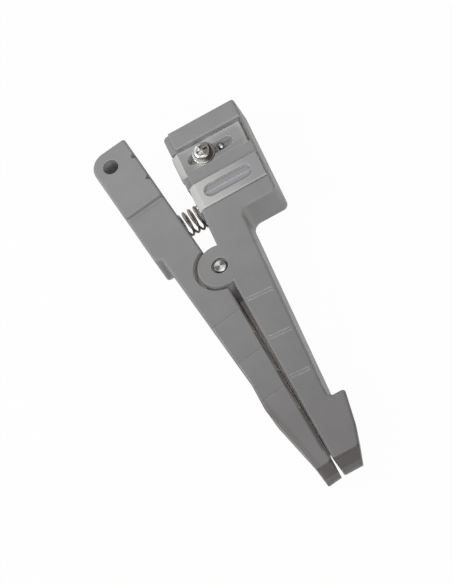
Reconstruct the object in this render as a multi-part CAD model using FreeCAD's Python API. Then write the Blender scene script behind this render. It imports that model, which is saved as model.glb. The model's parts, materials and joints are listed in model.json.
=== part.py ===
import FreeCAD
import Part
import math
import os
from FreeCAD import Vector as V

# Coaxial cable stripper of the clothespin kind, lying flat on its back, in millimetres.
# Two moulded arms turn on a steel pin.  The head arm carries two blade cassettes that
# slide towards the jaw.  The anvil arm presses the cable, which runs along Z, on them.
# The model is drawn about the pin's axis and moved at the end, so that the origin is at
# the middle of the footprint, on the plane that the tool lies on.
# X runs across the tool, Y along it towards the head, Z through its thickness.

# Arms
ARM_T = 12.7            # thickness of both arms
EDGE_R = 0.8            # rounding of the arms' front and back edges
SHARP_R = 1.0           # small corner radius of the outlines

# Head arm outline, about the pin's axis
JAW_X = 1.0             # jaw face beside the cassettes
JAW_LOW_X = 2.0         # jaw face below them, which the spring pushes on
JAW_STEP_L = 2.8        # length along Y of the slanting step between the two
JAW_CORNER_R = 1.5
HOOK_Y = 14.0           # lower side of the finger hook
HOOK_CORNER_R = 1.9
HOOK_ROOT_R = 2.7
GRIP_TOP_X = 12.9       # outer side of the handle under the hook
GRIP_END_X = 11.8       # and where it meets the barb
GRIP_IN_TOP = (1.5, -8.2)
TIP_Y = -78.4
HEAD_TIP_IN_X = 5.1
HEAD_TIP_OUT_X = 13.6
BARB_X = 17.2
BARB_Y = -58.2
BARB_LOW = (15.55, -71.0)   # slight bend in the barb's outer side
BARB_LOW_R = 8.0
BARB_ROOT_R = 2.0
BARB_BEVEL = 2.6        # how far the barb's back edge lies inside its front edge
BARB_BEVEL_T = 11.8     # height of that bevel
TIP_BEVEL = 1.2         # bevel at the back of both handle ends
TIP_BEVEL_T = 6.0

# Bays and ledge in the head
LOWER_BAY_Y = 24.55     # middle of the lower bay
BETWEEN_BAYS = 4.4      # rib between the two bays
TOP_BLOCK_W = 6.65      # block beyond the upper bay
BAY_WALL = 0.5          # wall at the bays' closed end
UPPER_SINK = 1.8        # upper cassette's face below the head's face
LOWER_RISE = 0.6        # lower cassette's face above the head's face
LEDGE_W = 2.05          # step at the jaw end of the head's face
LEDGE_T = 1.5
BAY_LIP = 0.35          # bevel along the bays' upper edge

# Cassettes
CASSETTE_L = 23.0
CASSETTE_W = 9.2
CASSETTE_T = 3.0
CASSETTE_PLAY = 0.1     # gap on each side and at the end of the bay
CASSETTE_EDGE = 0.25
UPPER_NOSE_X = 0.56
LOWER_NOSE_X = 1.5
NOSE_RUN = 2.15         # bevel on the nose
NOSE_DROP = 1.65
SLOT_W = 3.6
SLOT_START = 4.05       # from the nose to the slot
SLOT_END = 3.85         # from the slot to the cassette's other end
TROUGH_W = 4.7
TROUGH_START = 3.8
TROUGH_END = 3.3
TROUGH_T = 0.5
RIDGE_W = 0.7
RIDGE_T = 0.3
OUT_TRAVEL = 3.0        # how far a cassette can come out towards the jaw

# Blades
BLADE_T = 0.5
BLADE_DEPTH = 3.6       # from the nose inwards
BLADE_SIDE = 0.5        # from the blade's ends to the cassette's sides
BLADE_REACH = 0.15      # edge in front of the nose
BLADE_GRIND = 0.7
BLADE_SEAT_T = 0.8      # recess in the cassette's underside
BLADE_PLAY = 0.1
RIVET_R = 0.6
RIVET_HEAD_R = 1.0
RIVET_HEAD_T = 0.25
RIVET_L = 1.3
RIVET_BACK = 2.3        # from the nose
RIVET_SIDE = 1.5        # from the blade's ends
FIT_GAP = 0.02          # radial gap of a pressed or glued fit

# Clamp screws
SCREW_TO_STOP = 5.45    # from the screw's axis to the stop pin's
SCREW_R = 1.45
SCREW_POINT = 0.35      # bevel at the shank's end
SCREW_HOLE_GAP = 0.15
SCREW_HEAD_R = 2.8
SCREW_HEAD_T = 1.9
SCREW_HEAD_ROUND = 0.9
DRIVE_W = 0.75
DRIVE_L = 3.4
DRIVE_T = 1.1
WASHER_R = 3.5
WASHER_T = 0.55
INSERT_R = 2.1
INSERT_GAP = 0.05       # radial gap between screw and insert
UPPER_INSERT_T = 5.5
LOWER_INSERT_T = 2.0
SCREW_PAST = 0.2        # how far a screw stops short of its hole's end
HEAD_POCKET_T = 2.9     # pocket for the lower screw's head in the back
HEAD_POCKET_GAP = 0.25

# Stop pins
STOP_R = 1.0
STOP_DOME = 0.7
STOP_SEAT = 3.0         # length held in the head
UPPER_STOP_STAND = 2.7  # length that stands up in the slot
LOWER_STOP_STAND = 1.2  # and in the closed slot under the trough
STOP_GAP = 0.1

# Hinge
EAR_R = 7.1
EAR_T = 4.25
EAR_EDGE = 0.4
TONGUE_R = 7.0
TONGUE_GAP = 0.2        # between tongue and each ear
TONGUE_ROOM = 0.6       # radial room round the tongue
RECESS_R = 8.35         # recess round the ears in the anvil arm
PIN_R = 2.1
PIN_RUN_GAP = 0.05
PIN_SINK_R = 2.65       # ring round the pin's ends
PIN_SINK_T = 0.9
PIN_SHORT = 0.1         # pin's ends below the faces
PIN_DOME = 0.5

# Anvil arm, in its own axes: a across, b along, about the pin's axis
ANVIL_OPEN = 7.52       # degrees that the anvil arm leans away at rest
ANVIL_IN_A = -1.9
ANVIL_OUT_A = -15.2
ANVIL_TOP_B = 55.2
ANVIL_TOP_R = 5.3       # corner beside the hanging hole
ANVIL_NIP_R = 0.85      # sharper corner at the jaw
ANVIL_STEP_B = 13.6     # end of the wide part of the outer side
ANVIL_GRIP_A = -13.2
ANVIL_WAIST = (-12.45, -40.5)    # slimmest place of the grip
ANVIL_SWELL = (-13.35, -50.4)    # low swelling that stops the hand
ANVIL_KNEE = (-11.15, -70.2)     # where the outer side turns to the handle's end
ANVIL_SWAY_R = 9.0
ANVIL_TIP_B = -78.4
ANVIL_TIP_OUT_A = -10.9
ANVIL_TIP_IN_A = -5.6
ANVIL_TIP_IN_R = 1.6
ANVIL_DRAFT = 0.7       # facet at the back of the tip's inner side
ANVIL_DRAFT_T = 11.5
ANVIL_DRAFT_B = -58.0   # where it runs out
ANVIL_GRIP_IN = (-1.5, -9.05)
BLOCK_RISE = 1.9        # the anvil block stands this far above the arm
BLOCK_B = 31.4          # lower end of the block
BLOCK_FOOT_R = 0.7
HOLE_AT = (-9.85, 49.35)    # middle of the hanging hole
HOLE_R = 2.4
NOTCH_B = (38.9, 48.0)  # cable notches along the anvil's edge
NOTCH_W = 3.0
NOTCH_T = 1.6

# Spring between the arms
SPRING_Y = 22.2
SPRING_R = 3.3          # to the middle of the wire
WIRE_R = 0.375
SPRING_TURNS = 6
SPRING_END_GAP = 0.1    # from the coil's end to the head arm
POCKET_R = 4.25
POCKET_T = 2.5
POCKET_END_GAP = 0.15
STUD_R = 2.5
STUD_L = 1.6
STUD_ROUND = 0.8

# Grip ribs
RIB_Y = -15.9           # first pair on the head arm
RIB_PITCH = 15.4
RIB_COUNT = 3
RIB_W = 0.45
RIB_APART = 1.05
RIB_T = 0.3
RIB_FAINT_T = 0.15
RIB_BEVEL = 0.6         # bevel of a rib's edges, as a share of its height
RIB_SLOPE = 4.5         # degrees
RIB_SIDE = 1.2          # from the ribs' ends to the handle's edges
SHINGLE_B = -17.0       # first step on the anvil arm
SHINGLE_T = 0.35
SHINGLE_L = 9.0
SHINGLE_SIDE = 0.5

MID_Z = ARM_T / 2
BLOCK_Z = ARM_T + BLOCK_RISE
UPPER_FACE_Z = ARM_T - UPPER_SINK
LOWER_FACE_Z = ARM_T + LOWER_RISE
UPPER_FLOOR_Z = UPPER_FACE_Z - CASSETTE_T
LOWER_FLOOR_Z = LOWER_FACE_Z - CASSETTE_T
BAY_W = CASSETTE_W + 2 * CASSETTE_PLAY
UPPER_BAY_Y = LOWER_BAY_Y + BAY_W + BETWEEN_BAYS
HEAD_TOP_Y = UPPER_BAY_Y + BAY_W / 2 + TOP_BLOCK_W
BAY_END_X = LOWER_NOSE_X + CASSETTE_L + CASSETTE_PLAY
HEAD_RIGHT_X = BAY_END_X + BAY_WALL
BLADE_W = CASSETTE_W - 2 * BLADE_SIDE
STOP_BACK = CASSETTE_L - SLOT_END - OUT_TRAVEL - STOP_R - STOP_GAP   # from the nose
SCREW_BACK = STOP_BACK - SCREW_TO_STOP
OVER = 1.0              # how far cutting tools run past what they cut
TINY = 1e-4
Z_UP = V(0, 0, 1)


def rounded_face(corners, z=0.0):
    """Closed outline from corners (x, y, radius), each rounded by a tangent arc."""
    points = [V(x, y, z) for x, y, r in corners]
    count = len(points)
    ends = []
    for i, (x, y, r) in enumerate(corners):
        here = points[i]
        to_last = (points[i - 1] - here).normalize()
        to_next = (points[(i + 1) % count] - here).normalize()
        if r <= 0:
            ends.append((here, None, here))
            continue
        half = to_last.getAngle(to_next) / 2
        run = r / math.tan(half)
        bisector = (to_last + to_next).normalize()
        middle = here + bisector * (r / math.sin(half) - r)
        ends.append((here + to_last * run, middle, here + to_next * run))
    edges = []
    for i, (start, middle, end) in enumerate(ends):
        if middle is not None:
            edges.append(Part.Arc(start, middle, end).toShape())
        next_start = ends[(i + 1) % count][0]
        if end.distanceToPoint(next_start) > TINY:
            edges.append(Part.LineSegment(end, next_start).toShape())
    return Part.Face(Part.Wire(edges))


def flat_face(points):
    return Part.Face(Part.makePolygon(points + points[:1]))


def prism(corners, z0, z1):
    return rounded_face(corners, z0).extrude(V(0, 0, z1 - z0))


def rod(x, y, r, z0, z1):
    return Part.makeCylinder(r, z1 - z0, V(x, y, z0), Z_UP)


def box(x0, x1, y0, y1, z0, z1):
    return Part.makeBox(x1 - x0, y1 - y0, z1 - z0, V(x0, y0, z0))


def obround(x0, x1, y, w, z0, z1):
    r = w / 2
    return prism([(x0, y - r, r), (x1, y - r, r), (x1, y + r, r), (x0, y + r, r)], z0, z1)


def flat_edges(shape, z):
    """Edges of a solid that lie wholly in the plane at height z."""
    return [e for e in shape.Edges
            if abs(e.BoundBox.ZMin - z) < TINY and abs(e.BoundBox.ZMax - z) < TINY]


def soft_prism(corners, z0, z1, r):
    """Extruded outline whose front and back edges are rounded."""
    body = prism(corners, z0, z1)
    return body.makeFillet(r, flat_edges(body, z0) + flat_edges(body, z1))


def on_line(p, q, y):
    """x of the line through p and q at height y."""
    return p[0] + (q[0] - p[0]) * (y - p[1]) / (q[1] - p[1])


def leaning(shape):
    """Turn a shape from the anvil arm's own axes to where it stands at rest."""
    turned = shape.copy()
    turned.rotate(V(0, 0, 0), Z_UP, ANVIL_OPEN)
    return turned


def back_bevel(p, q, depth, height):
    """Cutter that bevels the back edge running from p to q, on its right-hand side."""
    start = V(p[0], p[1], 0)
    along = V(q[0] - p[0], q[1] - p[1], 0)
    outward = V(along.y, -along.x, 0).normalize()
    far = depth + OVER
    section = [start - outward * depth,
               start + Z_UP * height,
               start + outward * far + Z_UP * height,
               start + outward * far - Z_UP * OVER,
               start - outward * depth - Z_UP * OVER]
    run_out = V(along).normalize() * OVER
    cutter = flat_face(section).extrude(along + run_out * 2)
    cutter.translate(-run_out)
    return cutter


def head_outline():
    tip_in = (HEAD_TIP_IN_X, TIP_Y)
    rib_y = LOWER_BAY_Y + BAY_W / 2
    return [
        (JAW_X, HEAD_TOP_Y, JAW_CORNER_R),
        (JAW_X, rib_y, SHARP_R),
        (JAW_LOW_X, rib_y - JAW_STEP_L, SHARP_R),
        (on_line((JAW_LOW_X, EAR_R), GRIP_IN_TOP, 0), 0, 0),
        (GRIP_IN_TOP[0], GRIP_IN_TOP[1], 0),
        (tip_in[0], tip_in[1], SHARP_R),
        (HEAD_TIP_OUT_X, TIP_Y, SHARP_R),
        (BARB_LOW[0], BARB_LOW[1], BARB_LOW_R),
        (BARB_X, BARB_Y, SHARP_R),
        (GRIP_END_X, BARB_Y, BARB_ROOT_R),
        (GRIP_TOP_X, HOOK_Y, HOOK_ROOT_R),
        (HEAD_RIGHT_X, HOOK_Y, HOOK_CORNER_R),
        (HEAD_RIGHT_X, HEAD_TOP_Y, SHARP_R),
    ]


def bay(y, floor_z):
    half = BAY_W / 2
    cut = box(JAW_X - OVER, BAY_END_X, y - half, y + half, floor_z, ARM_T + OVER)
    lip = flat_face([
        V(JAW_X - OVER, y + half, ARM_T - BAY_LIP),
        V(JAW_X - OVER, y + half + BAY_LIP, ARM_T),
        V(JAW_X - OVER, y + half + BAY_LIP, ARM_T + OVER),
        V(JAW_X - OVER, y + half, ARM_T + OVER)])
    return cut.fuse(lip.extrude(V(BAY_END_X - JAW_X + OVER, 0, 0)))


def grip_ribs():
    """Pairs of thin ribs across the head arm's handle."""
    ribs = []
    tip_in = (HEAD_TIP_IN_X, TIP_Y)
    for k in range(RIB_COUNT):
        for y, t in ((RIB_Y - k * RIB_PITCH, RIB_T),
                     (RIB_Y - k * RIB_PITCH + RIB_APART, RIB_FAINT_T)):
            x0 = on_line(GRIP_IN_TOP, tip_in, y) + RIB_SIDE
            x1 = on_line((GRIP_TOP_X, HOOK_Y), (GRIP_END_X, BARB_Y), y) - RIB_SIDE
            r = RIB_W / 2
            rib = box(x0, x1, y - r, y + r, ARM_T - EDGE_R, ARM_T + t)
            long_edges = [e for e in flat_edges(rib, ARM_T + t) if e.BoundBox.XLength > RIB_W]
            rib = rib.makeChamfer(t * RIB_BEVEL, long_edges)
            rib.rotate(V((x0 + x1) / 2, y, 0), Z_UP, -RIB_SLOPE)
            ribs.append(rib)
    return ribs


def head_arm():
    arm = soft_prism(head_outline(), 0, ARM_T, EDGE_R)
    ear = rod(0, 0, EAR_R, 0, ARM_T)
    ear = ear.makeFillet(EAR_EDGE, flat_edges(ear, 0) + flat_edges(ear, ARM_T))
    stud_root = V(JAW_LOW_X + OVER, SPRING_Y, MID_Z)
    stud = Part.makeCylinder(STUD_R, STUD_L + OVER, stud_root, V(-1, 0, 0))
    stud_end = [e for e in stud.Edges if e.BoundBox.XMax < JAW_LOW_X - STUD_L + TINY]
    stud = stud.makeFillet(STUD_ROUND, stud_end)
    arm = arm.fuse([ear, stud] + grip_ribs())
    arm = arm.cut(rod(0, 0, TONGUE_R + TONGUE_ROOM, EAR_T, ARM_T - EAR_T))
    arm = arm.cut(bay(UPPER_BAY_Y, UPPER_FLOOR_Z))
    arm = arm.cut(bay(LOWER_BAY_Y, LOWER_FLOOR_Z))
    upper_rim = UPPER_BAY_Y - BAY_W / 2
    lower_rim = LOWER_BAY_Y + BAY_W / 2
    for y0, y1 in ((lower_rim - OVER, upper_rim + OVER),
                   (UPPER_BAY_Y + BAY_W / 2 - OVER, HEAD_TOP_Y + OVER)):
        arm = arm.cut(box(JAW_X - OVER, JAW_X + LEDGE_W, y0, y1, ARM_T - LEDGE_T, ARM_T + OVER))
    arm = arm.cut(rod(0, 0, PIN_R + FIT_GAP, -OVER, ARM_T + OVER))
    arm = arm.cut(rod(0, 0, PIN_SINK_R, ARM_T - PIN_SINK_T, ARM_T + OVER))
    arm = arm.cut(rod(0, 0, PIN_SINK_R, -OVER, PIN_SINK_T))
    # Upper clamp: insert and stop pin stand in the floor of the upper bay.
    arm = arm.cut(rod(UPPER_NOSE_X + SCREW_BACK, UPPER_BAY_Y, INSERT_R + FIT_GAP,
                      UPPER_FLOOR_Z - UPPER_INSERT_T, UPPER_FLOOR_Z + OVER))
    arm = arm.cut(rod(UPPER_NOSE_X + STOP_BACK, UPPER_BAY_Y, STOP_R + FIT_GAP,
                      UPPER_FLOOR_Z - STOP_SEAT, UPPER_FLOOR_Z + OVER))
    # Lower clamp: its screw comes from the back, through a slot with a pocket.
    slot_w = 2 * (SCREW_R + SCREW_HOLE_GAP)
    pocket_w = 2 * (WASHER_R + HEAD_POCKET_GAP)
    right = LOWER_NOSE_X + SCREW_BACK
    left = right - OUT_TRAVEL
    arm = arm.cut(obround(left - slot_w / 2, right + slot_w / 2, LOWER_BAY_Y, slot_w,
                          -OVER, LOWER_FLOOR_Z + OVER))
    arm = arm.cut(obround(left - pocket_w / 2, right + pocket_w / 2, LOWER_BAY_Y, pocket_w,
                          -OVER, HEAD_POCKET_T))
    arm = arm.cut(rod(LOWER_NOSE_X + STOP_BACK, LOWER_BAY_Y, STOP_R + FIT_GAP,
                      LOWER_FLOOR_Z - STOP_SEAT, LOWER_FLOOR_Z + OVER))
    # Bevels behind the barb and the handle's end.
    tip_in = (HEAD_TIP_IN_X, TIP_Y)
    tip_out = (HEAD_TIP_OUT_X, TIP_Y)
    arm = arm.cut(back_bevel(tip_out, BARB_LOW, BARB_BEVEL, BARB_BEVEL_T))
    arm = arm.cut(back_bevel(BARB_LOW, (BARB_X, BARB_Y), BARB_BEVEL, BARB_BEVEL_T))
    arm = arm.cut(back_bevel(tip_in, tip_out, TIP_BEVEL, TIP_BEVEL_T))
    return arm.removeSplitter()


def shingles():
    """Low steps across the anvil arm's handle, each fading out towards the tip."""
    steps = []
    for k in range(RIB_COUNT):
        b = SHINGLE_B - k * RIB_PITCH
        outer_end = ANVIL_WAIST if b > ANVIL_WAIST[1] else ANVIL_SWELL
        outer_start = (ANVIL_GRIP_A, ANVIL_STEP_B) if b > ANVIL_WAIST[1] else ANVIL_WAIST
        a0 = on_line(outer_start, outer_end, b) + SHINGLE_SIDE
        a1 = on_line(ANVIL_GRIP_IN, (ANVIL_TIP_IN_A, ANVIL_TIP_B), b) - SHINGLE_SIDE
        side = flat_face([
            V(a0, b, ARM_T - EDGE_R),
            V(a0, b, ARM_T + SHINGLE_T),
            V(a0, b - SHINGLE_L, ARM_T),
            V(a0, b - SHINGLE_L, ARM_T - EDGE_R)])
        steps.append(side.extrude(V(a1 - a0, 0, 0)))
    return steps


def anvil_outline():
    return [
        (ANVIL_IN_A, ANVIL_TOP_B, ANVIL_NIP_R),
        (ANVIL_OUT_A, ANVIL_TOP_B, ANVIL_TOP_R),
        (ANVIL_OUT_A, ANVIL_STEP_B, SHARP_R),
        (ANVIL_GRIP_A, ANVIL_STEP_B, SHARP_R / 2),
        (ANVIL_WAIST[0], ANVIL_WAIST[1], ANVIL_SWAY_R),
        (ANVIL_SWELL[0], ANVIL_SWELL[1], ANVIL_SWAY_R),
        (ANVIL_KNEE[0], ANVIL_KNEE[1], ANVIL_SWAY_R),
        (ANVIL_TIP_OUT_A, ANVIL_TIP_B, SHARP_R),
        (ANVIL_TIP_IN_A, ANVIL_TIP_B, ANVIL_TIP_IN_R),
        (ANVIL_GRIP_IN[0], ANVIL_GRIP_IN[1], 0),
        (ANVIL_IN_A, -ANVIL_GRIP_IN[1], 0),
    ]


def block_outline():
    return [
        (ANVIL_IN_A, ANVIL_TOP_B, ANVIL_NIP_R),
        (ANVIL_OUT_A, ANVIL_TOP_B, ANVIL_TOP_R),
        (ANVIL_OUT_A, BLOCK_B, SHARP_R),
        (ANVIL_IN_A, BLOCK_B, SHARP_R),
    ]


def block_foot():
    """Hollow rounding where the anvil block rises from the arm."""
    r = BLOCK_FOOT_R
    a0 = ANVIL_OUT_A + EDGE_R
    a1 = ANVIL_IN_A - EDGE_R
    bar = box(a0, a1, BLOCK_B - r, BLOCK_B + SHARP_R, ARM_T - EDGE_R, ARM_T + r)
    hollow = Part.makeCylinder(r, a1 - a0 + 2 * OVER,
                               V(a0 - OVER, BLOCK_B - r, ARM_T + r), V(1, 0, 0))
    return bar.cut(hollow)


def cable_notch(b):
    """Cutter for a V across the anvil's pressing face, all through its thickness."""
    slope = NOTCH_W / 2 / NOTCH_T
    reach = (NOTCH_T + OVER) * slope
    notch = flat_face([
        V(ANVIL_IN_A + OVER, b - reach, -OVER),
        V(ANVIL_IN_A - NOTCH_T, b, -OVER),
        V(ANVIL_IN_A + OVER, b + reach, -OVER)])
    return notch.extrude(Z_UP * (BLOCK_Z + 2 * OVER))


def anvil_arm():
    arm = soft_prism(anvil_outline(), 0, ARM_T, EDGE_R)
    block = prism(block_outline(), EDGE_R, BLOCK_Z)
    block = block.makeFillet(EDGE_R, flat_edges(block, BLOCK_Z))
    tongue = rod(0, 0, TONGUE_R, EAR_T + TONGUE_GAP, ARM_T - EAR_T - TONGUE_GAP)
    arm = arm.fuse([block, block_foot()] + shingles())
    arm = arm.cut(rod(0, 0, RECESS_R, ARM_T - EAR_T - TONGUE_GAP, BLOCK_Z + OVER))
    arm = arm.cut(rod(0, 0, RECESS_R, -OVER, EAR_T + TONGUE_GAP))
    arm = arm.fuse(tongue)
    arm = arm.cut(rod(0, 0, PIN_R + PIN_RUN_GAP, -OVER, ARM_T + OVER))
    arm = arm.cut(rod(HOLE_AT[0], HOLE_AT[1], HOLE_R, -OVER, BLOCK_Z + OVER))
    for b in NOTCH_B:
        arm = arm.cut(cable_notch(b))
    pocket = Part.makeCylinder(POCKET_R, POCKET_T + OVER,
                               V(ANVIL_IN_A + OVER, pocket_b(), MID_Z), V(-1, 0, 0))
    arm = arm.cut(pocket)
    tip_in = (ANVIL_TIP_IN_A, ANVIL_TIP_B)
    run_out = (on_line(ANVIL_GRIP_IN, tip_in, ANVIL_DRAFT_B) + ANVIL_DRAFT, ANVIL_DRAFT_B)
    arm = arm.cut(back_bevel((ANVIL_TIP_OUT_A, ANVIL_TIP_B), tip_in, TIP_BEVEL, TIP_BEVEL_T))
    arm = arm.cut(back_bevel(tip_in, run_out, ANVIL_DRAFT, ANVIL_DRAFT_T))
    return leaning(arm.removeSplitter())


def pocket_b():
    """Height along the anvil arm at which the spring's axis meets its inner face."""
    lean = math.radians(ANVIL_OPEN)
    return (SPRING_Y - ANVIL_IN_A * math.sin(lean)) / math.cos(lean)


def pocket_floor_x():
    """Where the spring's axis meets the floor of the pocket in the anvil arm."""
    lean = math.radians(ANVIL_OPEN)
    return (ANVIL_IN_A - POCKET_T) * math.cos(lean) - pocket_b() * math.sin(lean)


def return_spring():
    """Coil between the arms, its axis along X."""
    tilt_room = (SPRING_R + WIRE_R) * math.tan(math.radians(ANVIL_OPEN))
    start = pocket_floor_x() + tilt_room + POCKET_END_GAP + WIRE_R
    end = JAW_LOW_X - SPRING_END_GAP - WIRE_R
    length = end - start
    helix = Part.makeHelix(length / SPRING_TURNS, length, SPRING_R)
    section = Part.Wire(Part.makeCircle(WIRE_R, V(SPRING_R, 0, 0), V(0, 1, 0)))
    coil = Part.Wire(helix).makePipeShell([section], True, True)
    coil.rotate(V(0, 0, 0), V(0, 1, 0), 90)
    coil.translate(V(start, SPRING_Y, MID_Z))
    return coil


def hinge_pin():
    z0 = PIN_SHORT
    z1 = ARM_T - PIN_SHORT
    pin = rod(0, 0, PIN_R, z0, z1)
    return pin.makeFillet(PIN_DOME, flat_edges(pin, z0) + flat_edges(pin, z1))


def cassette_body(nose_x, y, floor_z):
    half = CASSETTE_W / 2
    end_x = nose_x + CASSETTE_L
    top = floor_z + CASSETTE_T
    body = box(nose_x, end_x, y - half, y + half, floor_z, top)
    rim = [e for e in flat_edges(body, top) if e.BoundBox.XMax > nose_x + TINY]
    body = body.makeChamfer(CASSETTE_EDGE, rim)
    over_z = OVER * NOSE_DROP / NOSE_RUN
    nose = flat_face([
        V(nose_x - OVER, y - half - OVER, top - NOSE_DROP - over_z),
        V(nose_x + NOSE_RUN + OVER, y - half - OVER, top + over_z),
        V(nose_x - OVER, y - half - OVER, top + over_z)])
    body = body.cut(nose.extrude(V(0, CASSETTE_W + 2 * OVER, 0)))
    seat_half = BLADE_W / 2 + BLADE_PLAY
    body = body.cut(box(nose_x - OVER, nose_x + BLADE_DEPTH + BLADE_PLAY,
                        y - seat_half, y + seat_half, floor_z - OVER, floor_z + BLADE_SEAT_T))
    for rivet_y in rivet_places(y):
        body = body.cut(rod(nose_x + RIVET_BACK, rivet_y, RIVET_R + FIT_GAP,
                            floor_z, floor_z + BLADE_SEAT_T + RIVET_L))
    return body


def rivet_places(y):
    half = BLADE_W / 2 - RIVET_SIDE
    return (y - half, y + half)


def upper_cassette():
    body = cassette_body(UPPER_NOSE_X, UPPER_BAY_Y, UPPER_FLOOR_Z)
    start = UPPER_NOSE_X + SLOT_START
    end = UPPER_NOSE_X + CASSETTE_L - SLOT_END
    return body.cut(obround(start, end, UPPER_BAY_Y, SLOT_W,
                            UPPER_FLOOR_Z - OVER, UPPER_FACE_Z + OVER))


def lower_cassette():
    """Its shallow trough keeps a low ridge along the middle.  Its screw comes from below."""
    body = cassette_body(LOWER_NOSE_X, LOWER_BAY_Y, LOWER_FLOOR_Z)
    start = LOWER_NOSE_X + TROUGH_START
    end = LOWER_NOSE_X + CASSETTE_L - TROUGH_END
    trough_z = LOWER_FACE_Z - TROUGH_T
    trough = obround(start, end, LOWER_BAY_Y, TROUGH_W, trough_z, LOWER_FACE_Z + OVER)
    ridge = flat_face([
        V(start, LOWER_BAY_Y - RIDGE_W / 2, trough_z),
        V(start, LOWER_BAY_Y, trough_z + RIDGE_T),
        V(start, LOWER_BAY_Y + RIDGE_W / 2, trough_z)])
    body = body.cut(trough.cut(ridge.extrude(V(end - start, 0, 0))))
    body = body.cut(rod(LOWER_NOSE_X + SCREW_BACK, LOWER_BAY_Y, INSERT_R + FIT_GAP,
                        LOWER_FLOOR_Z - OVER, LOWER_FLOOR_Z + LOWER_INSERT_T))
    half = STOP_R + STOP_GAP
    stop_x = LOWER_NOSE_X + STOP_BACK
    return body.cut(obround(stop_x - half, stop_x + OUT_TRAVEL + half, LOWER_BAY_Y, 2 * half,
                            LOWER_FLOOR_Z - OVER, LOWER_FLOOR_Z + LOWER_STOP_STAND + STOP_GAP))


def blade(nose_x, y, floor_z):
    """Flat blade in the cassette's underside, ground on its front side to the edge."""
    z1 = floor_z + BLADE_SEAT_T - FIT_GAP
    z0 = z1 - BLADE_T
    edge_x = nose_x - BLADE_REACH
    section = flat_face([
        V(edge_x, y - BLADE_W / 2, z0),
        V(nose_x + BLADE_DEPTH, y - BLADE_W / 2, z0),
        V(nose_x + BLADE_DEPTH, y - BLADE_W / 2, z1),
        V(edge_x + BLADE_GRIND, y - BLADE_W / 2, z1)])
    plate = section.extrude(V(0, BLADE_W, 0))
    for rivet_y in rivet_places(y):
        plate = plate.cut(rod(nose_x + RIVET_BACK, rivet_y, RIVET_R + FIT_GAP,
                              z0 - OVER, z1 + OVER))
    return plate


def blade_rivet(nose_x, y, floor_z):
    z_head = floor_z + BLADE_SEAT_T - FIT_GAP - BLADE_T
    x = nose_x + RIVET_BACK
    head = rod(x, y, RIVET_HEAD_R, z_head - RIVET_HEAD_T, z_head)
    shank = rod(x, y, RIVET_R, z_head, floor_z + BLADE_SEAT_T + RIVET_L - FIT_GAP)
    return head.fuse(shank).removeSplitter()


def pan_screw(length):
    """Screw standing on z = 0, head up, its cross recess cut in the head."""
    head = rod(0, 0, SCREW_HEAD_R, 0, SCREW_HEAD_T)
    head = head.makeFillet(SCREW_HEAD_ROUND, flat_edges(head, SCREW_HEAD_T))
    shank = rod(0, 0, SCREW_R, -length, 0)
    shank = shank.makeChamfer(SCREW_POINT, flat_edges(shank, -length))
    screw = head.fuse(shank)
    half_w = DRIVE_W / 2
    half_l = DRIVE_L / 2
    z0 = SCREW_HEAD_T - DRIVE_T
    for x, y in ((half_l, half_w), (half_w, half_l)):
        screw = screw.cut(box(-x, x, -y, y, z0, SCREW_HEAD_T + OVER))
    return screw.removeSplitter()


def washer():
    ring = rod(0, 0, WASHER_R, 0, WASHER_T)
    return ring.cut(rod(0, 0, SCREW_R + SCREW_HOLE_GAP, -OVER, WASHER_T + OVER))


def insert(length):
    sleeve = rod(0, 0, INSERT_R, 0, length)
    return sleeve.cut(rod(0, 0, SCREW_R + INSERT_GAP, -OVER, length + OVER))


def placed(shape, x, y, z, flipped=False):
    moved = shape.copy()
    if flipped:
        moved.rotate(V(0, 0, 0), V(1, 0, 0), 180)
    moved.translate(V(x, y, z))
    return moved


def stop_pin(x, y, floor_z, stand):
    pin = rod(x, y, STOP_R, floor_z - STOP_SEAT + FIT_GAP, floor_z + stand)
    return pin.makeFillet(STOP_DOME, flat_edges(pin, floor_z + stand))


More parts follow.
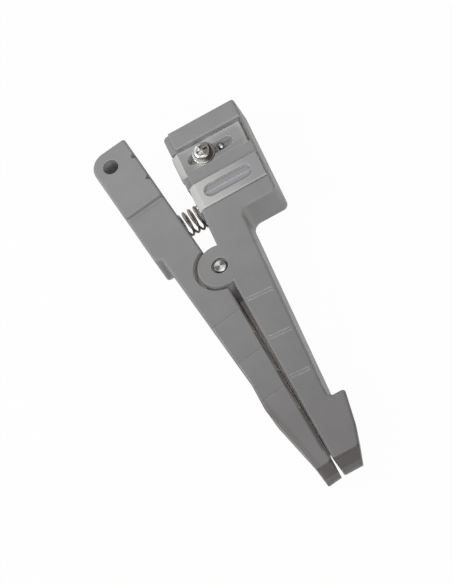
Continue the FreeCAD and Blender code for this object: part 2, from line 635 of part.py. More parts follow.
def build():
    upper_top = UPPER_FACE_Z + WASHER_T
    upper_len = upper_top - (UPPER_FLOOR_Z - UPPER_INSERT_T) - SCREW_PAST
    lower_seat = HEAD_POCKET_T
    lower_len = LOWER_FLOOR_Z + LOWER_INSERT_T - SCREW_PAST - (lower_seat - WASHER_T)
    upper_rivets = rivet_places(UPPER_BAY_Y)
    lower_rivets = rivet_places(LOWER_BAY_Y)
    upper_screw_x = UPPER_NOSE_X + SCREW_BACK
    lower_screw_x = LOWER_NOSE_X + SCREW_BACK
    return {
        "head_arm": head_arm(),
        "anvil_arm": anvil_arm(),
        "hinge_pin": hinge_pin(),
        "return_spring": return_spring(),
        "upper_cassette": upper_cassette(),
        "upper_blade": blade(UPPER_NOSE_X, UPPER_BAY_Y, UPPER_FLOOR_Z),
        "upper_rivet_low": blade_rivet(UPPER_NOSE_X, upper_rivets[0], UPPER_FLOOR_Z),
        "upper_rivet_high": blade_rivet(UPPER_NOSE_X, upper_rivets[1], UPPER_FLOOR_Z),
        "upper_screw": placed(pan_screw(upper_len), upper_screw_x, UPPER_BAY_Y, upper_top),
        "upper_washer": placed(washer(), upper_screw_x, UPPER_BAY_Y, UPPER_FACE_Z),
        "upper_insert": placed(insert(UPPER_INSERT_T), upper_screw_x, UPPER_BAY_Y,
                               UPPER_FLOOR_Z - UPPER_INSERT_T),
        "upper_stop_pin": stop_pin(UPPER_NOSE_X + STOP_BACK, UPPER_BAY_Y, UPPER_FLOOR_Z,
                                   UPPER_STOP_STAND),
        "lower_cassette": lower_cassette(),
        "lower_blade": blade(LOWER_NOSE_X, LOWER_BAY_Y, LOWER_FLOOR_Z),
        "lower_rivet_low": blade_rivet(LOWER_NOSE_X, lower_rivets[0], LOWER_FLOOR_Z),
        "lower_rivet_high": blade_rivet(LOWER_NOSE_X, lower_rivets[1], LOWER_FLOOR_Z),
        "lower_screw": placed(pan_screw(lower_len), lower_screw_x, LOWER_BAY_Y,
                              lower_seat - WASHER_T, flipped=True),
        "lower_washer": placed(washer(), lower_screw_x, LOWER_BAY_Y, lower_seat - WASHER_T),
        "lower_insert": placed(insert(LOWER_INSERT_T), lower_screw_x, LOWER_BAY_Y,
                               LOWER_FLOOR_Z),
        "lower_stop_pin": stop_pin(LOWER_NOSE_X + STOP_BACK, LOWER_BAY_Y, LOWER_FLOOR_Z,
                                   LOWER_STOP_STAND),
    }


def main():
    parts = build()
    footprint = Part.makeCompound(list(parts.values())).BoundBox
    shift = V(-footprint.Center.x, -footprint.Center.y, -footprint.ZMin)
    os.makedirs("parts", exist_ok=True)
    for name, shape in parts.items():
        solids = shape.Solids
        shape = solids[0] if len(solids) == 1 else shape
        shape.translate(shift)
        shape.exportStep("parts/" + name + ".step")
        print(name, len(solids), shape.isValid(), round(shape.Volume, 2))
    print("size", footprint.XLength, footprint.YLength, footprint.ZLength)
    print("pin axis at", shift.x, shift.y)


main()
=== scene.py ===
import json
import math
import bpy
from mathutils import Matrix, Vector


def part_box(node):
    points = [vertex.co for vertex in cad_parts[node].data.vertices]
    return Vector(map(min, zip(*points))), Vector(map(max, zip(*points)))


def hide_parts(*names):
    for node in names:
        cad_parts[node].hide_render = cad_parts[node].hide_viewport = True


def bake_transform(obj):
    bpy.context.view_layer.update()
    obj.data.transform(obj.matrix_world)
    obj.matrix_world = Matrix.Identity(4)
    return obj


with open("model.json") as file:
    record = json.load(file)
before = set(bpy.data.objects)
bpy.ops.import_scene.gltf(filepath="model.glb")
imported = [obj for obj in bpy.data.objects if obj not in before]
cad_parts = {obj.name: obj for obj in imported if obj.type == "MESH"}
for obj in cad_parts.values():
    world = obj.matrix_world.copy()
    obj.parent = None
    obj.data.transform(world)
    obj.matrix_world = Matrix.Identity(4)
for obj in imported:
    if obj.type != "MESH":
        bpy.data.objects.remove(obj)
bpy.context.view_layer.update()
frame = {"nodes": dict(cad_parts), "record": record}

# Looks of a coaxial cable stripper: two moulded arms on a pin, two blade cassettes held by
# screws, and a coil spring.  Lengths are in metres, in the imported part's frame.
MM = 0.001
FRONT = (0.0, -1.0, 0.0)
RIGHT = (1.0, 0.0, 0.0)
UP = (0.0, 0.0, 1.0)

# The photograph's view.  The pin's front end is at PIN_PIXEL in a frame of FRAME_PIXELS.
FRAME_PIXELS = (452, 584)
PIN_PIXEL = (219.8, 265.5)
PIXEL = 0.295 * MM        # across one pixel, at the pin
AZIMUTH = 8.1             # degrees
ELEVATION = 57.0
ROLL = 35.5
DISTANCE = 5.5
SENSOR = 36.0             # millimetres

# Stage
WORLD_STRENGTH = 0.40
LAMP_AIM = (0.0, 0.035, 0.01)
FLOOR_SIZE = 8.0
FLOOR_WHITE = 0.97        # share of the floor's look that is plain white, the rest has shadows
CARD_AWAY = 0.7           # dark card on the right, which shows in the bright metal

# Gap between the handles: it runs along x = -GAP_START - GAP_LEAN * y
GAP_LEAN = 0.06
GAP_START = 1.35 * MM
GAP_END_Y = -56 * MM      # below this it opens to the white floor
GAP_WALL = (0.998, 0.059, 0.0)        # outward side of the anvil arm's wall in it
GAP_EDGE_SHADE = (-0.65 * MM, 0.95 * MM)  # from its middle to where the painted shade along its borders ends
GAP_SHADOW_WIDTH = (0.7 * MM, 1.6 * MM)     # half the width of the painted shadow strip, at its end and at the pin
FLOOR_LOOKS = 14 * MM                 # how far the painted shadow strip looks for walls round it

# Arms: from the head's end to the handles' end a painted shade makes the plastic darker and warmer
HEAD_END_Y = 55 * MM
FOOT_END_Y = -50 * MM
END_WALL_Y = -62.5 * MM   # the handles' end walls lie below this
BARB_Y = -43 * MM         # above this a painted light makes the head arm's outer side paler
FACE_OVER_PIN = 0.3 * MM  # the arms' upper faces lie this far above the pin's end

# The anvil arm's outer side, which a painted shade darkens towards the handle's end.  At SIDE_Y
# it lies SIDE_AWAY from the gap, and SIDE_LEAN nearer for each unit further down.
# the painted shade on the anvil arm's outer side starts below this
SIDE_SHADE_Y = -30 * MM
SIDE_Y = -38 * MM
SIDE_AWAY = 9.3 * MM
SIDE_LEAN = 0.155

# Cassettes: nose, and trough in the lower one
NOSE_RUN = 2.15 * MM      # the bevel's length along x
NOSE_FACE = (-0.61, 0.0, 0.79)        # outward side of the bevels
TROUGH_W = 4.7 * MM
TROUGH_START = 3.8 * MM   # from the nose's tip
TROUGH_END = 3.3 * MM     # from the other end

# Screws
SCREW_HEAD_R = 2.4 * MM
RING_PITCH = 0.5 * MM     # between the turned rings on all turned metal

# Spring
TURNS = 5.2
WIRE_R = 0.36 * MM
COIL_WIDER = 0.25 * MM    # in radius, than the solid that it stands for
COIL_START = 114          # degrees from the coil's top to where the wire starts
COIL_LEAN = 0.16          # how much its turns lean, along x for each unit of height
DEAD_TURN = 0.75          # turns at each end that lie close together
DEAD_PITCH = 2.1 * WIRE_R # rise of each of those turns
RING_POINTS = 14          # points round the wire
TURN_POINTS = 56          # points along each turn


def srgb(code):
    """Linear colour from a hexadecimal sRGB code."""
    values = [int(code[i:i + 2], 16) / 255 for i in (0, 2, 4)]
    linear = [v / 12.92 if v <= 0.04045 else ((v + 0.055) / 1.055) ** 2.4 for v in values]
    return (*linear, 1.0)


class Nodes:
    """A material's node tree with short calls for what the finishes share."""

    def __init__(self, name):
        self.material = bpy.data.materials.new(name)
        self.material.use_nodes = True
        self.tree = self.material.node_tree
        self.tree.nodes.clear()
        self.shader = self.add("ShaderNodeBsdfPrincipled")
        self.output = self.add("ShaderNodeOutputMaterial")
        self.link(self.shader.outputs["BSDF"], self.output.inputs["Surface"])
        self.place = self.add("ShaderNodeTexCoord").outputs["Object"]

    def add(self, kind, **settings):
        node = self.tree.nodes.new(kind)
        for key, value in settings.items():
            setattr(node, key, value)
        return node

    def link(self, a, b):
        self.tree.links.new(a, b)

    def feed(self, **outputs):
        """Links outputs to the shader, an underscore standing for a space in a socket's name."""
        for key, output in outputs.items():
            self.link(output, self.shader.inputs[key.replace("_", " ")])

    def math(self, operation, *values):
        node = self.add("ShaderNodeMath", operation=operation)
        for i, value in enumerate(values):
            if isinstance(value, (int, float)):
                node.inputs[i].default_value = value
            else:
                self.link(value, node.inputs[i])
        return node.outputs[0]

    def times(self, product, *values):
        for value in values:
            product = self.math("MULTIPLY", product, value)
        return product

    def without(self, share):
        """What is left of 1 without a share."""
        return self.math("SUBTRACT", 1.0, share)

    def length(self, dx, dy):
        return self.math("SQRT", self.math("ADD", self.times(dx, dx), self.times(dy, dy)))

    def axis(self, letter):
        node = self.add("ShaderNodeSeparateXYZ")
        self.link(self.place, node.inputs[0])
        return node.outputs[letter]

    def spread(self, value, low, high, to_low=0.0, to_high=1.0):
        node = self.add("ShaderNodeMapRange")
        settings = {"From Min": low, "From Max": high, "To Min": to_low, "To Max": to_high}
        for key, number in settings.items():
            node.inputs[key].default_value = number
        self.link(value, node.inputs["Value"])
        return node.outputs["Result"]

    def band(self, value, low, high, soft):
        """1 between low and high, 0 outside, over a soft border."""
        above_low = self.spread(value, low - soft, low)
        below_high = self.spread(value, high + soft, high)
        return self.times(above_low, below_high)

    def facing(self, direction, low=0.45, high=0.85):
        """1 on faces whose outward side is turned to direction, 0 on the others."""
        coordinates = self.add("ShaderNodeTexCoord")
        dot = self.add("ShaderNodeVectorMath", operation="DOT_PRODUCT")
        self.link(coordinates.outputs["Normal"], dot.inputs[0])
        dot.inputs[1].default_value = direction
        return self.spread(dot.outputs["Value"], low, high)

    def hollow(self, distance, low, high):
        """1 where walls stand closely round a point, 0 in the open."""
        node = self.add("ShaderNodeAmbientOcclusion", samples=8)
        node.inputs["Distance"].default_value = distance
        return self.spread(node.outputs["AO"], high, low)

    def stretched(self, scale):
        """Place scaled along each axis, for noise that runs along one direction."""
        node = self.add("ShaderNodeMapping")
        node.inputs["Scale"].default_value = scale
        self.link(self.place, node.inputs["Vector"])
        return node.outputs["Vector"]

    def noise(self, size, detail=2.0, rough=0.5, place=None):
        """Noise whose blotches are about size metres across."""
        node = self.add("ShaderNodeTexNoise")
        node.inputs["Scale"].default_value = 1 / size
        node.inputs["Detail"].default_value = detail
        node.inputs["Roughness"].default_value = rough
        self.link(place or self.place, node.inputs["Vector"])
        return node.outputs["Fac"]

    def blend(self, factor, a, b):
        """Colour between a and b, each a colour or an output."""
        node = self.add("ShaderNodeMix", data_type="RGBA")
        self.link(factor, node.inputs["Factor"])
        for socket, value in ((node.inputs[6], a), (node.inputs[7], b)):
            if isinstance(value, tuple):
                socket.default_value = value
            else:
                self.link(value, socket)
        return node.outputs[2]

    def bump(self, height, depth, normal=None):
        """Normal of a surface that height, 0 to 1, raises by up to depth."""
        node = self.add("ShaderNodeBump")
        node.inputs["Distance"].default_value = depth
        node.inputs["Strength"].default_value = 1.0
        self.link(height, node.inputs["Height"])
        if normal is not None:
            self.link(normal, node.inputs["Normal"])
        return node.outputs["Normal"]

    def rounded(self, radius):
        """Normal that rounds edges by radius."""
        bevel = self.add("ShaderNodeBevel", samples=6)
        bevel.inputs["Radius"].default_value = radius
        return bevel.outputs["Normal"]

    def edge(self, rounded):
        """1 on the edges that the rounded normal rounds, 0 on flat faces."""
        geometry = self.add("ShaderNodeNewGeometry")
        dot = self.add("ShaderNodeVectorMath", operation="DOT_PRODUCT")
        self.link(rounded, dot.inputs[0])
        self.link(geometry.outputs["Normal"], dot.inputs[1])
        return self.spread(dot.outputs["Value"], 0.998, 0.9)

    def metal(self):
        """The material, made metallic."""
        self.shader.inputs["Metallic"].default_value = 1.0
        return self.material


def middle_of(name):
    low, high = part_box(name)
    return (low + high) / 2


def moulded(n, base, wear_and_highlight, rough, grain, grain_depth, edge_radius, recess, shades=()):
    """Moulded plastic over a base colour: flecks, painted shade in the corners, painted light in
    the recesses, fine eroded grain, and edges that the mould rounds, that use polishes and that a
    painted highlight makes paler.  The recess and the shades are pairs of share and colour, and
    the shades, painted light and shade, lie over all."""
    fleck = n.spread(n.noise(0.5 * MM, 3.0, 0.6), 0.3, 0.75)
    base = n.blend(n.times(fleck, 0.12), base, srgb("6f6e6e"))
    # painted shade in the corners
    base = n.blend(n.times(n.hollow(0.7 * MM, 0.4, 0.75), 0.45), base, srgb("55504d"))
    # painted light in the recesses
    base = n.blend(recess[0], base, recess[1])
    rounded = n.rounded(edge_radius)
    patchy = n.spread(n.noise(2.5 * MM, 3.0), 0.3, 0.7, 0.5, 1.0)
    # edges paler by wear and by a painted highlight
    rubbed_and_highlit = n.times(n.edge(rounded), patchy, n.without(n.hollow(0.5 * MM, 0.15, 0.45)))
    base = n.blend(rubbed_and_highlit, base, wear_and_highlight)
    # the shades are painted light and shade, laid over all the rest
    for share, colour in shades:
        base = n.blend(share, base, colour)
    patch = n.spread(n.noise(6 * MM, 2.0), 0.3, 0.7, rough - 0.04, rough + 0.05)
    fine = n.bump(n.noise(grain, 3.0, 0.6), grain_depth, rounded)
    swell = n.bump(n.noise(7 * MM, 1.0), 0.02 * MM, fine)
    n.feed(Base_Color=base, Roughness=n.math("SUBTRACT", patch, n.times(rubbed_and_highlit, 0.14)),
           Normal=swell)
    n.shader.inputs["IOR"].default_value = 1.5
    return n.material


def from_gap(n):
    """Distance from the middle of the handles' gap: positive on the head arm's side."""
    return n.math("ADD", n.math("ADD", n.axis("X"), n.times(n.axis("Y"), GAP_LEAN)), GAP_START)


def arm_base(n, y):
    """Cloudy grey, darker and warmer towards the foot by a painted shade, and painted shade on the
    walls at the handles' end.
    """
    cloud = n.spread(n.noise(9 * MM, 3.0), 0.35, 0.65)
    head = n.blend(cloud, srgb("8f8f8f"), srgb("949494"))
    foot = n.blend(cloud, srgb("6e6c6c"), srgb("737171"))
    # painted shade: darker and warmer towards the foot
    base = n.blend(n.spread(y, HEAD_END_Y, FOOT_END_Y), head, foot)
    # painted shade on the handles' end walls, which face away from the lamps
    low_end = n.spread(y, END_WALL_Y, END_WALL_Y - 1.2 * MM)
    return n.blend(n.times(low_end, n.facing(FRONT, 0.15, 0.4)), base, srgb("403a38"))


def arm_recess_light(n, y):
    """Share of the painted light in the head's recesses and in the handles' gap."""
    pin = middle_of("hinge_pin")
    from_pin = n.length(n.math("SUBTRACT", n.axis("X"), pin.x), n.math("SUBTRACT", y, pin.y))
    off_pin = n.times(n.spread(y, 2 * MM, 6 * MM), n.spread(from_pin, 4 * MM, 5 * MM))
    in_head = n.times(off_pin, n.hollow(5 * MM, 0.15, 0.5))
    in_gap = n.times(n.spread(y, 2 * MM, -8 * MM), n.hollow(12 * MM, 0.15, 0.5))
    return n.math("MAXIMUM", in_head, in_gap)


def side_shade(n, y, across):
    """Share of the painted shade along the anvil arm's outer side."""
    lean = n.times(n.math("SUBTRACT", y, SIDE_Y), SIDE_LEAN)
    from_side = n.math("ADD", n.math("ADD", across, SIDE_AWAY), lean)
    near_side = n.spread(from_side, 2.4 * MM, 0.2 * MM, 0.0, 0.75)
    return n.times(n.spread(y, SIDE_SHADE_Y, SIDE_SHADE_Y - 10 * MM), near_side)


def gap_wall(n, y, across):
    """Share and colour of the anvil arm's wall in the gap: painted light where little light comes,
    and painted shade towards the hinge.
    """
    share = n.times(n.facing(GAP_WALL, 0.8, 0.95), n.band(across, -4 * MM, 4 * MM, 1 * MM),
                    n.spread(y, 4 * MM, 2 * MM))
    colour = n.blend(n.hollow(12 * MM, 0.2, 0.5), srgb("58524f"), srgb("f2edea"))
    return share, n.blend(n.spread(y, -14 * MM, -4 * MM, 0.0, 0.7), colour, srgb("37322f"))


def gap_edge_shade(n, y, across):
    """Share of the painted shade along the gap's borders on both arms' upper faces."""
    beside = n.band(across, *GAP_EDGE_SHADE, 0.2 * MM)
    along = n.band(y, GAP_END_Y - 5 * MM, -5 * MM, 1 * MM)
    return n.times(beside, along, n.facing(UP, 0.5, 0.8), 0.9)


def arm_plastic(name):
    """Grey plastic of the arms, with painted highlights that make the ribs on the head arm's grip
    and the ledges on the anvil arm's pale, and painted light and shade over it."""
    n = Nodes(name)
    y = n.axis("Y")
    across = from_gap(n)
    on_head = n.math("GREATER_THAN", across, 0.0)
    grip = n.spread(y, 0.0, -2 * MM)
    face_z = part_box("hinge_pin")[1].z + FACE_OVER_PIN
    height = n.math("SUBTRACT", n.axis("Z"), face_z)
    rib = n.times(grip, on_head, n.band(height, 0.08 * MM, 0.5 * MM, 0.06 * MM))
    # painted highlight on the ribs' crests
    crest = n.times(rib, n.spread(height, 0.14 * MM, 0.24 * MM, 0.2, 1.0))
    # painted highlight on the ledges' tops
    ledge = n.times(grip, n.without(on_head), n.spread(height, 0.3 * MM, 0.34 * MM, 0.0, 0.5))
    above_barb = n.spread(y, BARB_Y - 1 * MM, BARB_Y + 1 * MM, 0.0, 0.4)
    # painted light on the head arm's right-facing side above the barb
    outer = n.times(n.math("GREATER_THAN", across, 5 * MM), above_barb, n.facing(RIGHT, 0.3, 0.8))
    base = arm_base(n, y)
    base = n.blend(crest, base, srgb("e2e0e1"))
    base = n.blend(ledge, base, srgb("b9b7b7"))
    base = n.blend(outer, base, srgb("a8a5a2"))
    # painted shade on the ribs' front walls
    shades = ((n.times(rib, n.facing(FRONT), 0.6), srgb("1e1d1d")),
              # painted shade along the anvil arm's outer side
              (side_shade(n, y, across), srgb("57514f")),
              # painted light and shade on the anvil arm's wall in the gap
              gap_wall(n, y, across),
              # painted shade along the gap's borders
              (gap_edge_shade(n, y, across), srgb("524d4a")))
    # painted light in the head's recesses and in the handles' gap
    recess = (arm_recess_light(n, y), srgb("d4d0ce"))
    return moulded(n, base, srgb("bcbbba"), 0.46, 0.22 * MM, 0.012 * MM, 0.4 * MM, recess, shades)


def from_trough(n, y, low, high):
    """Distance from the straight middle line of the trough in the cassette from low to high."""
    left = low.x + TROUGH_START + TROUGH_W / 2
    right = high.x - TROUGH_END - TROUGH_W / 2
    off_middle = n.math("ABSOLUTE", n.math("SUBTRACT", n.axis("X"), (left + right) / 2))
    past_end = n.math("MAXIMUM", n.math("SUBTRACT", off_middle, (right - left) / 2), 0.0)
    return n.length(past_end, n.math("SUBTRACT", y, (low.y + high.y) / 2))


def cassette_plastic(name):
    """Lighter plastic, with painted light on the noses, along the lower cassette towards its nose
    and in the upper cassette's hollows, and dull in the lower cassette's trough.
    """
    n = Nodes(name)
    low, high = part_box("lower_cassette")
    between = (high.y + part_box("upper_cassette")[0].y) / 2
    x = n.axis("X")
    y = n.axis("Y")
    is_lower = n.math("LESS_THAN", y, between)
    cloud = n.spread(n.noise(7 * MM, 3.0), 0.35, 0.65)
    base = n.blend(cloud, srgb("979898"), srgb("9c9d9d"))
    # painted sheen along the lower cassette, strongest towards its nose
    pale = n.spread(x, high.x - 3 * MM, low.x + NOSE_RUN)
    base = n.blend(n.times(pale, is_lower), base, srgb("c8c9c6"))
    # painted light on the noses' bevels, which face the lamp
    near_tip = n.math("LESS_THAN", x, low.x + NOSE_RUN + 0.2 * MM)
    tilted = n.math("LESS_THAN", n.facing(UP), 0.97)
    base = n.blend(n.times(n.facing(NOSE_FACE), near_tip, tilted), base, srgb("d2d3d0"))
    half = TROUGH_W / 2
    away = from_trough(n, y, low, high)
    sunk = n.spread(n.axis("Z"), high.z - 0.15 * MM, high.z - 0.3 * MM)
    trough = n.times(n.spread(away, half + 0.05 * MM, half - 0.1 * MM), sunk)
    base = n.blend(trough, base, srgb("98989c"))
    inner_line = n.times(n.band(away, half - 0.8 * MM, half - 0.6 * MM, 0.1 * MM), sunk, 0.5)
    base = n.blend(inner_line, base, srgb("76767a"))
    # painted light in the upper cassette's hollows
    recess = (n.times(n.hollow(3 * MM, 0.3, 0.9), n.without(is_lower)), srgb("f0eeee"))
    return moulded(n, base, srgb("dcdcd9"), 0.38, 0.18 * MM, 0.006 * MM, 0.3 * MM, recess)


def ground_metal(name, colour, shade, rough, brush, brush_scale, edge_radius):
    """Metal with tool marks that run along one direction, dull smudges, and darker corners."""
    n = Nodes(name)
    smudge = n.spread(n.noise(2.2 * MM, 3.0, 0.6), 0.35, 0.7)
    marks = n.noise(brush, 2.0, 0.6, n.stretched(brush_scale))
    rounded = n.rounded(edge_radius)
    base = n.blend(n.times(smudge, 0.6), colour, shade)
    base = n.blend(n.edge(rounded), base, colour)
    base = n.blend(n.times(n.hollow(0.8 * MM, 0.25, 0.75), 0.75), base, srgb("2e2b28"))
    dull = n.spread(smudge, 0.0, 1.0, rough, rough + 0.1)
    n.feed(Base_Color=base, Roughness=n.math("ADD", dull, n.times(marks, 0.06)),
           Normal=n.bump(marks, 0.004 * MM, rounded))
    return n.metal()


def around(n, centres):
    """Distance from the nearest of the upright axes in centres, and the turn about it."""
    x = n.axis("X")
    y = n.axis("Y")
    distance = turn = None
    for centre in centres:
        dx = n.math("SUBTRACT", x, centre.x)
        dy = n.math("SUBTRACT", y, centre.y)
        here = n.length(dx, dy)
        angle = n.math("ARCTAN2", dy, dx)
        if distance is None:
            distance, turn = here, angle
            continue
        nearer = n.math("LESS_THAN", here, distance)
        turn = n.math("ADD", turn, n.times(nearer, n.math("SUBTRACT", angle, turn)))
        distance = n.math("MINIMUM", here, distance)
    return distance, turn


def turned_rings(n, distance):
    """0 to 1 and back in each ring that a lathe left."""
    wave = n.math("SINE", n.times(distance, 2 * math.pi / RING_PITCH))
    return n.spread(wave, -1.0, 1.0)


def wedges(n, turn, count, first, low, high):
    """0 to 1 and back in count wedges about an axis, the first one at an angle in degrees."""
    wave = n.math("COSINE", n.times(n.math("SUBTRACT", turn, math.radians(first)), count))
    return n.spread(wave, low, high)


def turned_steel(name):
    """Pin ends, stop pins and rivets, faced on a lathe: marks run round the axis along Z, and
    painted highlights lie in two wedges about it.
    """
    n = Nodes(name)
    nodes = [part["node"] for part in frame["record"]["subparts"] if part["material_slot"] == name]
    distance, turn = around(n, [middle_of(node) for node in nodes])
    smudge = n.spread(n.noise(0.6 * MM, 3.0, 0.6), 0.35, 0.7)
    # painted highlights in two wedges about the axis, painted shade between them
    base = n.blend(wedges(n, turn, 2, 110, -0.7, 0.9), srgb("5f5d5c"), srgb("d0cfcd"))
    base = n.blend(n.times(smudge, 0.35), base, srgb("77746f"))
    base = n.blend(n.times(n.hollow(0.9 * MM, 0.2, 0.8), 0.7), base, srgb("3a3734"))
    n.feed(Base_Color=base, Roughness=n.spread(smudge, 0.0, 1.0, 0.2, 0.36),
           Normal=n.bump(turned_rings(n, distance), 0.006 * MM, n.rounded(0.15 * MM)))
    return n.metal()


def plated_steel(name):
    """Bright plated screws and washers, with a painted highlight on one side and painted shade on
    the other, and turned rings that show through the plating.
    """
    n = Nodes(name)
    distance, turn = around(n, [middle_of("upper_screw"), middle_of("lower_screw")])
    on_washer = n.spread(distance, SCREW_HEAD_R, SCREW_HEAD_R + 0.2 * MM, 0.15, 1.0)
    ring = n.times(turned_rings(n, distance), on_washer, 0.6)
    rim = n.times(n.band(distance, 0.62 * SCREW_HEAD_R, 0.7 * SCREW_HEAD_R, 0.15 * MM), 0.7)
    groove = n.math("MAXIMUM", rim, ring)
    stain = n.spread(n.noise(1.1 * MM, 2.0), 0.44, 0.56)
    recess = n.hollow(0.9 * MM, 0.3, 0.6)
    # painted highlight on one side of each screw, painted shade on the other
    base = n.blend(wedges(n, turn, 1, 175, -0.3, 0.6), srgb("85827e"), srgb("f6f5f3"))
    base = n.blend(n.times(stain, 0.45), base, srgb("75716d"))
    base = n.blend(groove, base, srgb("55524f"))
    base = n.blend(n.times(recess, 0.6), base, srgb("99958f"))
    n.feed(Base_Color=base, Roughness=n.spread(recess, 0.0, 1.0, 0.16, 0.4),
           Normal=n.bump(groove, 0.01 * MM, n.rounded(0.3 * MM)))
    return n.metal()


def spring_steel(name):
    """Drawn wire with a painted shade, in blotches, on the coil's front side."""
    n = Nodes(name)
    drawn = n.noise(0.15 * MM, 3.0, 0.6)
    middle_y = middle_of("return_spring").y
    in_front = n.spread(n.axis("Y"), middle_y + 1.2 * MM, middle_y - 1.5 * MM)
    # painted shade on the coil's front side
    front_shade = n.times(in_front, n.spread(n.noise(1.5 * MM, 2.0), 0.3, 0.7, 0.75, 1.0))
    base = n.blend(drawn, srgb("a8a39e"), srgb("c4bfba"))
    base = n.blend(front_shade, base, srgb("6a625d"))
    n.feed(Base_Color=base, Roughness=n.spread(drawn, 0.3, 0.7, 0.4, 0.55),
           Normal=n.bump(drawn, 0.004 * MM))
    return n.metal()


def make_finishes():
    return {
        "moulded_grey": arm_plastic("moulded_grey"),
        "cassette_grey": cassette_plastic("cassette_grey"),
        "steel": turned_steel("steel"),
        "spring_steel": spring_steel("spring_steel"),
        "blade_steel": ground_metal("blade_steel", srgb("c4c6c8"), srgb("9a9da0"), 0.2,
                                    0.06 * MM, (0.1, 1.0, 1.0), 0.05 * MM),
        "plated_steel": plated_steel("plated_steel"),
        "brass": ground_metal("brass", srgb("d2b26a"), srgb("a5834a"), 0.25,
                              0.1 * MM, (1.0, 1.0, 0.15), 0.08 * MM),
    }


def dress_nodes(finishes):
    """Gives each CAD node the finish that its slot names."""
    for part in frame["record"]["subparts"]:
        node = frame["nodes"][part["node"]]
        for slot in node.material_slots:
            slot.material = finishes[part["material_slot"]]


def tube(name, points, radius):
    """Closed mesh tube round a line of points, its rings kept from twisting."""
    verts = []
    faces = []
    side = Vector((0, 0, 1))
    for i, p in enumerate(points):
        ahead = points[min(i + 1, len(points) - 1)] - points[max(i - 1, 0)]
        ahead.normalize()
        side = (side - ahead * side.dot(ahead)).normalized()
        other = ahead.cross(side)
        for k in range(RING_POINTS):
            turn = 2 * math.pi * k / RING_POINTS
            verts.append(p + (side * math.cos(turn) + other * math.sin(turn)) * radius)
    for i in range(len(points) - 1):
        for k in range(RING_POINTS):
            a = i * RING_POINTS + k
            b = i * RING_POINTS + (k + 1) % RING_POINTS
            faces.append((a, b, b + RING_POINTS, a + RING_POINTS))
    last = (len(points) - 1) * RING_POINTS
    faces.append(tuple(reversed(range(RING_POINTS))))
    faces.append(tuple(range(last, last + RING_POINTS)))
    mesh = bpy.data.meshes.new(name)
    mesh.from_pydata([tuple(v) for v in verts], [], faces)
    mesh.shade_smooth()
    obj = bpy.data.objects.new(name, mesh)
    bpy.context.scene.collection.objects.link(obj)
    return obj


def make_spring(finishes):
    """Coil with closed end turns, in place of the evenly wound one."""
    low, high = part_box("return_spring")
    middle = (low + high) / 2
    radius = (high.z - low.z) / 2 - WIRE_R + COIL_WIDER
    count = int(TURNS * TURN_POINTS)
    dead_rise = DEAD_TURN * DEAD_PITCH
    open_turns = TURNS - 2 * DEAD_TURN
    open_rise = high.x - low.x - 2 * WIRE_R - 2 * dead_rise
    points = []
    for i in range(count + 1):
        turn = TURNS * i / count
        near = min(turn, DEAD_TURN) / DEAD_TURN * dead_rise
        mid = min(max(turn - DEAD_TURN, 0), open_turns) / open_turns * open_rise
        far = max(turn - TURNS + DEAD_TURN, 0) / DEAD_TURN * dead_rise
        angle = math.radians(COIL_START) - 2 * math.pi * turn
        up = radius * math.cos(angle)
        x = low.x + WIRE_R + near + mid + far - COIL_LEAN * up
        points.append(Vector((x, middle.y + radius * math.sin(angle), middle.z + up)))
    coil = tube("spring_coil", points, WIRE_R)
    coil.data.materials.append(finishes["spring_steel"])
    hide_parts("return_spring")
    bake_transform(coil)


def stage_plane(name, corners, material):
    """Four-sided plane of the floor or the card."""
    mesh = bpy.data.meshes.new(name)
    mesh.from_pydata(corners, [], [(0, 1, 2, 3)])
    mesh.materials.append(material)
    plane = bpy.data.objects.new(name, mesh)
    bpy.context.scene.collection.objects.link(plane)
    return plane


def gap_shadow_on_floor(n):
    """Share of the painted shadow on the floor's strip that shows through the gap between the
    handles.
    """
    y = n.axis("Y")
    half_width = n.spread(y, GAP_END_Y, 0.0, *GAP_SHADOW_WIDTH)
    off_middle = n.math("DIVIDE", n.math("ABSOLUTE", from_gap(n)), half_width)
    along = n.band(y, GAP_END_Y, middle_of("hinge_pin").y, 1 * MM)
    return n.times(n.spread(off_middle, 1.3, 1.0), along, n.hollow(FLOOR_LOOKS, 0.22, 0.38))


def make_floor():
    """Pale floor that the camera and reflections see as white, apart from a share that keeps
    the object's shadow, and with a painted shadow along the gap between the handles."""
    n = Nodes("floor")
    n.feed(Base_Color=n.blend(n.noise(0.6, 2.0), (0.80, 0.80, 0.80, 1.0), (0.82, 0.82, 0.82, 1.0)))
    n.shader.inputs["Roughness"].default_value = 0.9
    white = n.add("ShaderNodeEmission")
    # the white, with a painted shadow along the handles' gap
    n.link(n.blend(gap_shadow_on_floor(n), (1.0, 1.0, 1.0, 1.0), srgb("524d4a")), white.inputs["Color"])
    rays = n.add("ShaderNodeLightPath")
    seen = n.math("MAXIMUM", rays.outputs["Is Camera Ray"], rays.outputs["Is Glossy Ray"])
    seen = n.math("MAXIMUM", seen, rays.outputs["Is Transmission Ray"])
    mix = n.add("ShaderNodeMixShader")
    n.link(n.times(seen, FLOOR_WHITE), mix.inputs["Fac"])
    n.link(n.shader.outputs["BSDF"], mix.inputs[1])
    n.link(white.outputs["Emission"], mix.inputs[2])
    n.link(mix.outputs["Shader"], n.output.inputs["Surface"])
    half = FLOOR_SIZE / 2
    corners = [(-half, -half, 0), (half, -half, 0), (half, half, 0), (-half, half, 0)]
    floor = stage_plane("floor", corners, n.material)


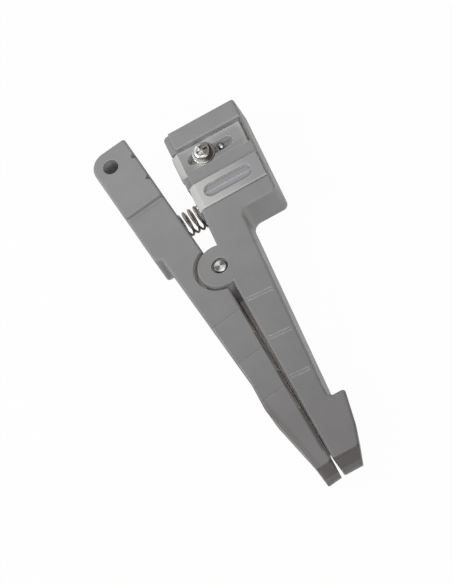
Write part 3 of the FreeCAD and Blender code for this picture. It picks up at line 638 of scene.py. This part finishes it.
def make_card():
    """Dark card standing to the right, which the camera doesn't see from any side."""
    n = Nodes("card")
    n.feed(Base_Color=n.blend(n.noise(0.1), srgb("1c1b1a"), srgb("242322")))
    n.shader.inputs["Roughness"].default_value = 0.8
    x = CARD_AWAY
    corners = [(x, -0.5, 0), (x, 0.9, 0), (x, 0.9, 0.6), (x, -0.5, 0.6)]
    card = stage_plane("card", corners, n.material)
    card.visible_camera = False


def make_world():
    """White to the camera and in reflections, and softer as a light."""
    world = bpy.data.worlds.new("studio")
    bpy.context.scene.world = world
    world.use_nodes = True
    tree = world.node_tree
    tree.nodes.clear()
    rays = tree.nodes.new("ShaderNodeLightPath")
    seen = tree.nodes.new("ShaderNodeMath")
    seen.operation = "MAXIMUM"
    strength = tree.nodes.new("ShaderNodeMapRange")
    strength.inputs["To Min"].default_value = WORLD_STRENGTH
    strength.inputs["To Max"].default_value = 1.0
    background = tree.nodes.new("ShaderNodeBackground")
    background.inputs["Color"].default_value = (1.0, 1.0, 1.0, 1.0)
    output = tree.nodes.new("ShaderNodeOutputWorld")
    tree.links.new(rays.outputs["Is Camera Ray"], seen.inputs[0])
    tree.links.new(rays.outputs["Is Glossy Ray"], seen.inputs[1])
    tree.links.new(seen.outputs[0], strength.inputs["Value"])
    tree.links.new(strength.outputs["Result"], background.inputs["Strength"])
    tree.links.new(background.outputs["Background"], output.inputs["Surface"])


def lamp(name, place, size, power):
    """Rectangular lamp that shines at LAMP_AIM."""
    data = bpy.data.lights.new(name, "AREA")
    data.shape = "RECTANGLE"
    data.size, data.size_y = size
    data.energy = power
    obj = bpy.data.objects.new(name, data)
    obj.location = place
    obj.rotation_mode = "QUATERNION"
    obj.rotation_quaternion = (Vector(LAMP_AIM) - Vector(place)).to_track_quat("-Z", "Y")
    bpy.context.scene.collection.objects.link(obj)


def make_lights():
    lamp("key", (-0.26, 0.11, 0.21), (0.16, 0.12), 0.38)
    lamp("top", (-0.05, 0.06, 0.40), (0.14, 0.14), 0.26)
    lamp("front", (0.15, -0.65, 0.43), (0.4, 0.3), 2.2)


def make_camera():
    """Camera at the photograph's angle, with the pin's front end at its place in the frame."""
    pin = middle_of("hinge_pin")
    pin.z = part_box("hinge_pin")[1].z
    azimuth, elevation, roll = (math.radians(angle) for angle in (AZIMUTH, ELEVATION, ROLL))
    level = Vector((math.cos(azimuth), math.sin(azimuth), 0))
    away = Vector((math.sin(azimuth), -math.cos(azimuth), 0))
    back = away * math.cos(elevation) + Vector(UP) * math.sin(elevation)
    right = level * math.cos(roll) + level.cross(back) * math.sin(roll)
    up = back.cross(right)
    off_right = (PIN_PIXEL[0] - FRAME_PIXELS[0] / 2) * PIXEL
    off_up = (FRAME_PIXELS[1] / 2 - PIN_PIXEL[1]) * PIXEL
    data = bpy.data.cameras.new("camera")
    data.sensor_width = SENSOR
    data.lens = SENSOR * DISTANCE / (FRAME_PIXELS[1] * PIXEL)
    data.clip_start = 0.1
    data.clip_end = 50.0
    camera = bpy.data.objects.new("camera", data)
    rotation = Matrix((right, up, back)).transposed()
    place = pin + back * DISTANCE - right * off_right - up * off_up
    camera.matrix_world = Matrix.Translation(place) @ rotation.to_4x4()
    bpy.context.scene.collection.objects.link(camera)
    bpy.context.scene.camera = camera


finishes = make_finishes()
dress_nodes(finishes)
make_spring(finishes)
make_floor()
make_world()
make_lights()
make_camera()
make_card()
bpy.context.scene.view_settings.view_transform = "Standard"
